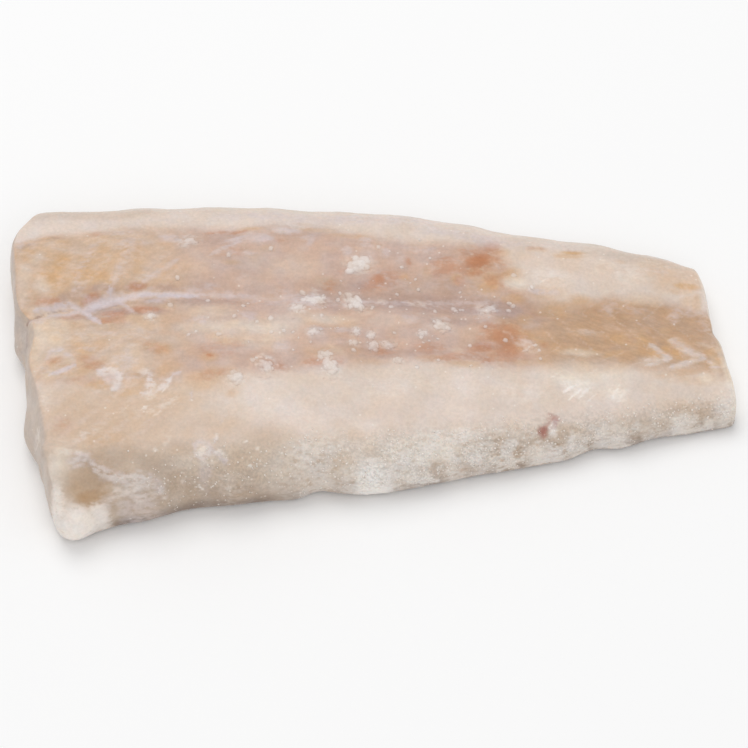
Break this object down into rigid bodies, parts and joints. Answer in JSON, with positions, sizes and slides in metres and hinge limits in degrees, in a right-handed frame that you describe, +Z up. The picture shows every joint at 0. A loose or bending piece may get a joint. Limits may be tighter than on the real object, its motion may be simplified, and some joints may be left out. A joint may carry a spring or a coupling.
{
  "type": "frozen pollock fillet",
  "caption": "Skinless frozen pollock fillet lying skin side up, tapered from head cut to tail cut, with clumps of ice and frost on it.",
  "frame": {"origin": "centre of the bounding box at the flat underside", "axes": "+X from the wide head cut to the narrow tail cut, +Y from the belly edge to the back edge, +Z up"},
  "size_m": [0.1914, 0.101, 0.0192],
  "materials": {
    "flesh": "raw frozen fish flesh, pale and slightly wet",
    "ice": "white ice and frost"
  },
  "bodies": {
    "root": {"fillet": "flesh"}
  },
  "joints": []
}
